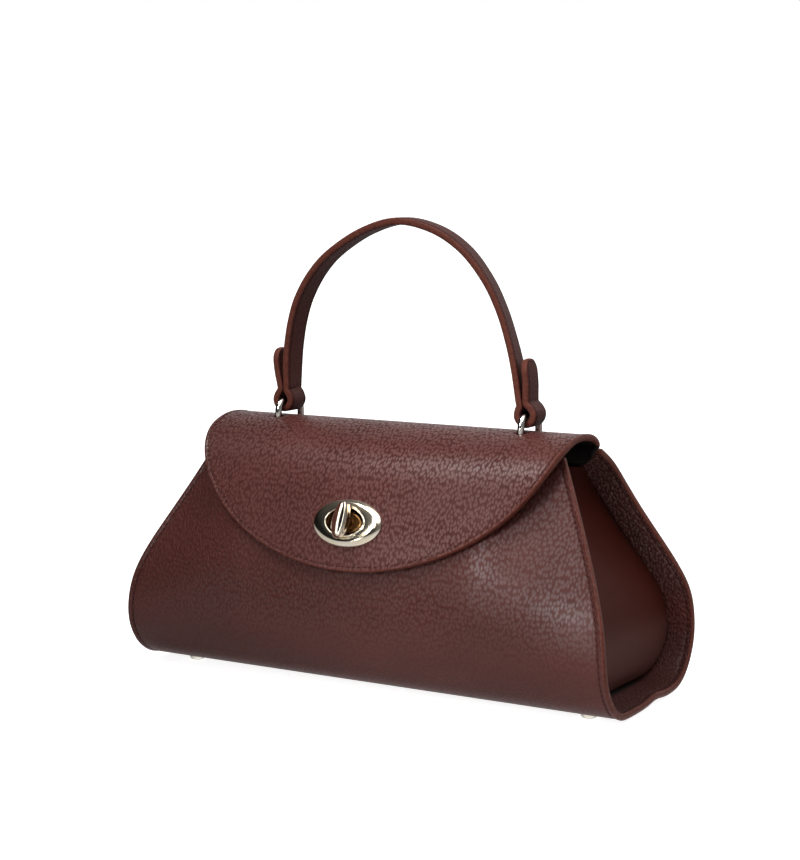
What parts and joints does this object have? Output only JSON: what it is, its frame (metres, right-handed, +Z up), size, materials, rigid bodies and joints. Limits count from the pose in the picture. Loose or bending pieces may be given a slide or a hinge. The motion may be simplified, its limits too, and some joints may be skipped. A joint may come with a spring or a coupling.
{
  "type": "leather handbag",
  "caption": "Trapezoid leather handbag with open pinched ends, a half-oval flap shut by an oval turn lock, and a flat strap handle hung on metal rings.",
  "frame": {"origin": "centre of the bag's box at the floor, under the feet", "axes": "+X along the bag, to the right seen from the front; -Y the front, with the lock; +Z up"},
  "size_m": [0.2986, 0.1416, 0.2565],
  "materials": {
    "grained_leather": "pebbled, satin sheen, painted reddish cut edges",
    "smooth_leather": "smooth, satin sheen",
    "pale_gold_metal": "polished pale gold plating"
  },
  "bodies": {
    "bag": {"body_wrap": "grained_leather", "flap": "grained_leather", "gusset_left": "smooth_leather", "gusset_right": "smooth_leather", "handle_strap": "smooth_leather", "ring_left": "pale_gold_metal", "ring_right": "pale_gold_metal", "ring_tab_left": "smooth_leather", "ring_tab_right": "smooth_leather", "lock_plate": "pale_gold_metal", "lock_base": "pale_gold_metal", "foot_front_left": "pale_gold_metal", "foot_front_right": "pale_gold_metal", "foot_back_left": "pale_gold_metal", "foot_back_right": "pale_gold_metal"},
    "turn_knob": {"turn_knob": "pale_gold_metal"}
  },
  "joints": [
    {"name": "lock_turn", "type": "hinge", "parent": "bag", "child": "turn_knob", "pos_m": [0, -0.05709, 0.09671], "axis": [0, -0.9147, 0.4042], "range_deg": [0, 90]}
  ]
}
